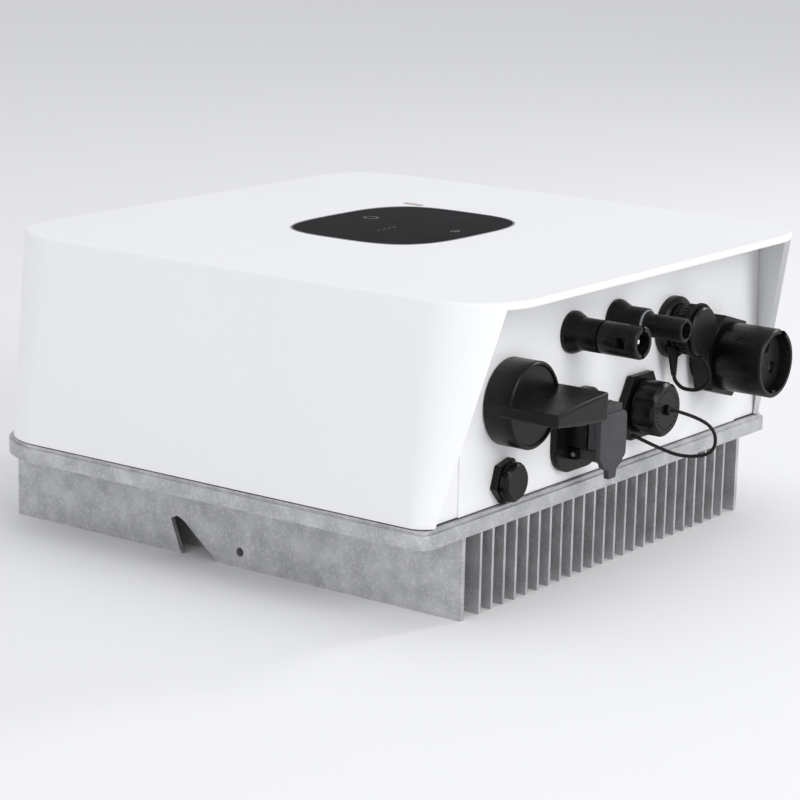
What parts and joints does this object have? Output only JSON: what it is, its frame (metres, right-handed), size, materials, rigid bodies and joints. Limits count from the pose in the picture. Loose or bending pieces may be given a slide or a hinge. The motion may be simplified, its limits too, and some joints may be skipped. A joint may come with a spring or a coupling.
{
  "type": "string inverter",
  "caption": "Wall-mounted solar string inverter, white cover on a finned heat sink, with connectors and isolator on its lower panel",
  "frame": {"origin": "middle of the footprint on the plane of the fin tips", "axes": "X runs across the width, -Y points out of the connector panel (down, when hung on a wall), +Z points out of the front cover"},
  "size_m": [0.2824, 0.2886, 0.1382],
  "materials": {
    "cast_aluminium": "raw die cast, slightly matt",
    "white_paint": "satin powder coat",
    "black_rubber": "matt",
    "zinc_steel": "zinc plated",
    "satin_trim": "satin",
    "display_glass": "smooth gloss",
    "lens": "translucent",
    "circuit_board": "solder mask",
    "dark_module": "moulded",
    "dark_plastic": "moulded",
    "black_plastic": "fine moulded texture",
    "tin_contact": "tin plated",
    "membrane": "felt",
    "cord_black": "satin",
    "grey_rubber": "matt",
    "brass_standoff": "machined",
    "pad_grey": "soft",
    "capacitor_can": "sleeved can",
    "ribbon": "flat cable"
  },
  "bodies": {
    "housing": {"heatsink": "cast_aluminium", "cover_shell": "white_paint", "cover_gasket": "grey_rubber", "cover_screws": "zinc_steel", "display_bezel": "satin_trim", "display_window": "display_glass", "status_light": "lens", "display_board": "circuit_board", "display_module": "dark_module", "connector_panel": "white_paint", "isolator_body": "dark_plastic", "isolator_collar": "black_plastic", "pv_plus_housing": "black_plastic", "pv_minus_housing": "black_plastic", "pv_nuts": "dark_plastic", "pv_seals": "black_rubber", "pv_contacts": "tin_contact", "vent_body": "black_plastic", "vent_cap": "black_plastic", "vent_membrane": "membrane", "com_flange": "black_plastic", "com_gasket": "black_rubber", "com_socket": "dark_plastic", "com_cap_pin": "black_plastic", "com_tether": "cord_black", "usb_collar": "black_plastic", "usb_socket": "dark_plastic", "usb_strap": "black_rubber", "ac_flange": "black_plastic", "ac_gasket": "black_rubber", "ac_nut": "black_plastic", "ac_shell": "black_plastic", "ac_insert": "dark_plastic", "ac_pins": "tin_contact", "aux_flange": "black_plastic", "aux_socket": "black_plastic", "aux_hinge_pin": "zinc_steel", "main_board": "circuit_board", "board_standoffs": "brass_standoff", "board_screws": "zinc_steel", "thermal_pad": "pad_grey", "power_module": "dark_module", "bus_capacitors": "capacitor_can", "boost_choke": "cast_aluminium", "grid_choke": "cast_aluminium", "common_mode_choke": "dark_module", "relays": "dark_module", "comms_board": "circuit_board", "display_ribbon": "ribbon"},
    "knob": {"isolator_knob": "black_plastic", "isolator_shaft": "zinc_steel"},
    "com_turn": {"com_cap": "black_plastic"},
    "usb_turn": {"usb_cap": "black_plastic"},
    "flap": {"aux_cap": "grey_rubber"}
  },
  "joints": [
    {"name": "knob_turn", "type": "hinge", "parent": "housing", "child": "knob", "pos_m": [-0.08, -0.10675, 0.0877], "axis": [0, -1, 0], "range_deg": [0, 90]},
    {"name": "com_cap_turn", "type": "hinge", "parent": "housing", "child": "com_turn", "pos_m": [0.0225, -0.10675, 0.068], "axis": [0, -1, 0], "range_deg": [0, 60]},
    {"name": "usb_cap_turn", "type": "hinge", "parent": "housing", "child": "usb_turn", "pos_m": [0.0508, -0.10675, 0.0996], "axis": [0, -1, 0], "range_deg": [0, 60]},
    {"name": "flap_turn", "type": "hinge", "parent": "housing", "child": "flap", "pos_m": [-0.0285, -0.11295, 0.0574], "axis": [1, 0, 0], "range_deg": [0, 45]}
  ]
}
